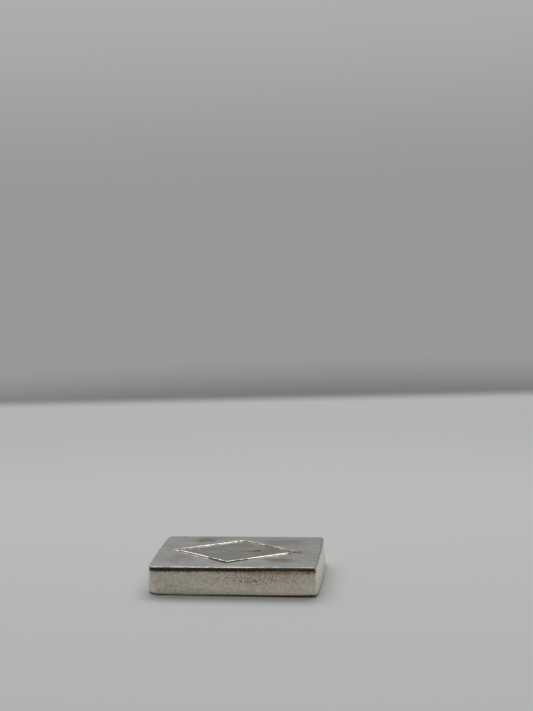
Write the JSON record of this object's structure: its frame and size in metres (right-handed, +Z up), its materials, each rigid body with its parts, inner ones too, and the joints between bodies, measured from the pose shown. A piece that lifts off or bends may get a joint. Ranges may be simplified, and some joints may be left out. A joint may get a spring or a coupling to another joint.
{
  "type": "metal ingot",
  "caption": "Small cast silver bar with drafted sides, a softly rounded poured base and a raised rhombus outline on its face.",
  "frame": {"origin": "middle of the base, on the surface that the bar lies on", "axes": "+X along the bar, towards the end face that the picture shows; +Y towards the long side that the picture hides; +Z up, out of the marked face"},
  "size_m": [0.0316, 0.0186, 0.0055],
  "materials": {
    "cast_silver": "satin"
  },
  "bodies": {
    "root": {"ingot": "cast_silver"}
  },
  "joints": []
}
